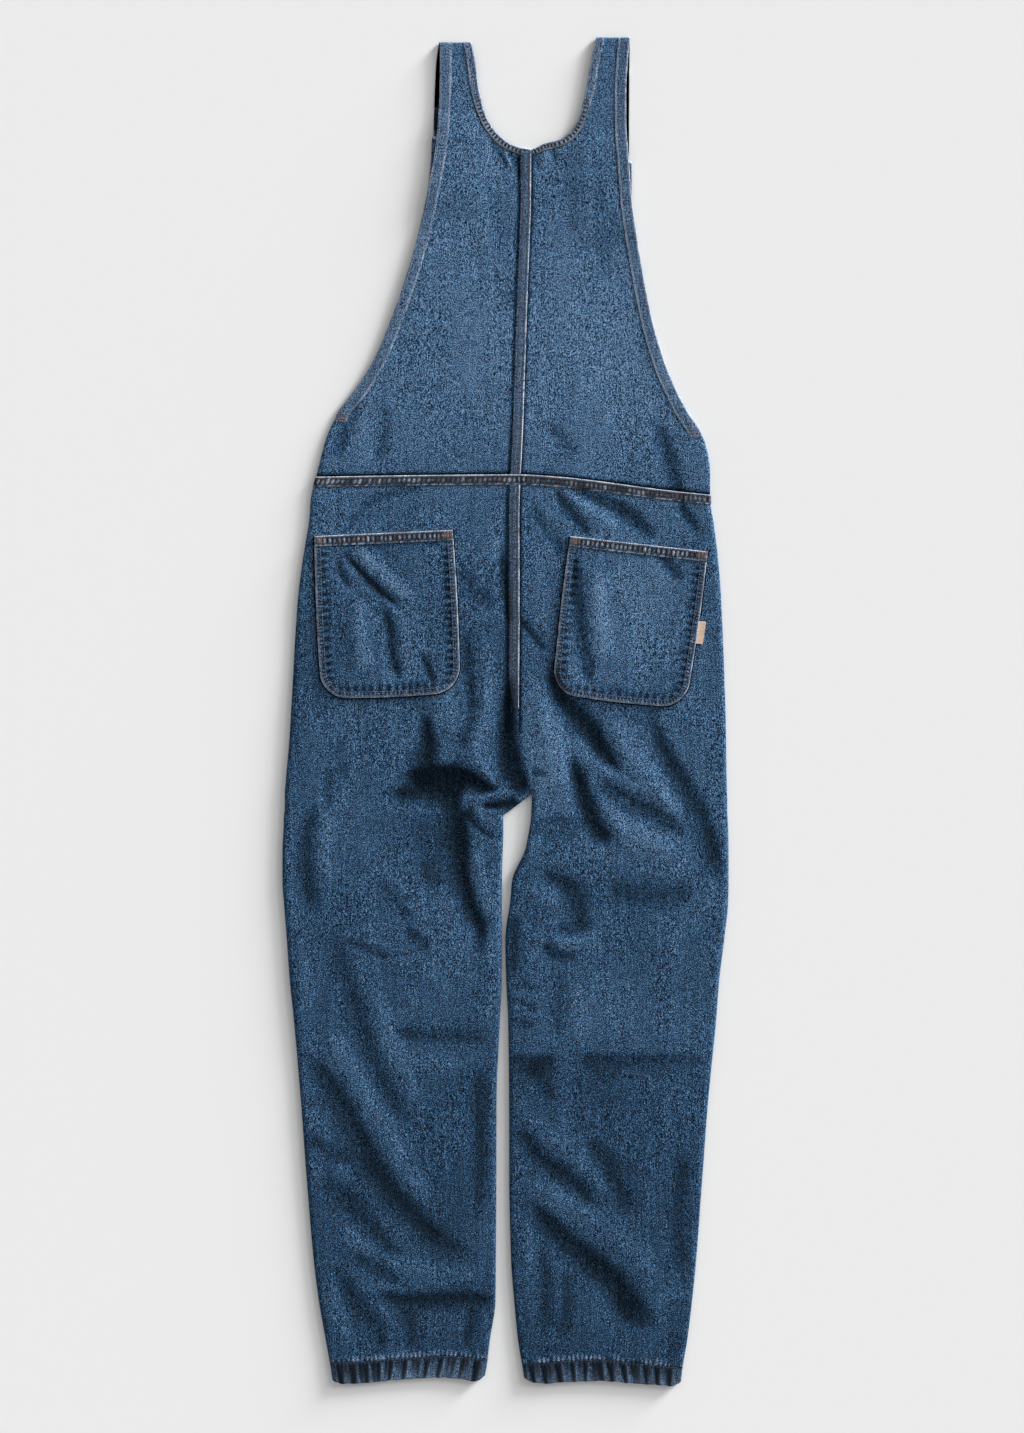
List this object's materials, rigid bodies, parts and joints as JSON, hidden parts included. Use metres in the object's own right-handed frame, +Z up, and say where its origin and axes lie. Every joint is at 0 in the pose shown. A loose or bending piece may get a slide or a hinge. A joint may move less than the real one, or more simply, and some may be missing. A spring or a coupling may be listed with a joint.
{
  "type": "denim dungarees laid flat",
  "caption": "Denim dungarees laid flat on their front: crossed by a waist seam, with patch pockets on the seat, straps folded over at the shoulders and turned hems",
  "frame": {"origin": "on the ground, under the middle of the box that holds the garment", "axes": "+Y runs from the hems to the straps, +X is the wearer's right and +Z is up, out of the back of the garment"},
  "size_m": [0.4964, 1.5, 0.0111],
  "materials": {
    "denim": "washed mid blue cotton twill with slubs, faded to greyish purple on its seams, sewn with dark copper thread",
    "ecru_tape": "plain beige cotton tape",
    "button_metal": "aged copper-coloured metal with a soft sheen"
  },
  "bodies": {
    "root": {"back_body_left": "denim", "back_body_right": "denim", "back_leg_left": "denim", "back_leg_right": "denim", "front_leg_left": "denim", "front_leg_right": "denim", "bib": "denim", "hem_back_left": "denim", "hem_back_right": "denim", "hem_front_left": "denim", "hem_front_right": "denim", "pocket_left": "denim", "pocket_right": "denim", "pocket_tab": "ecru_tape", "strap_button_left": "button_metal", "strap_button_right": "button_metal"}
  },
  "joints": []
}
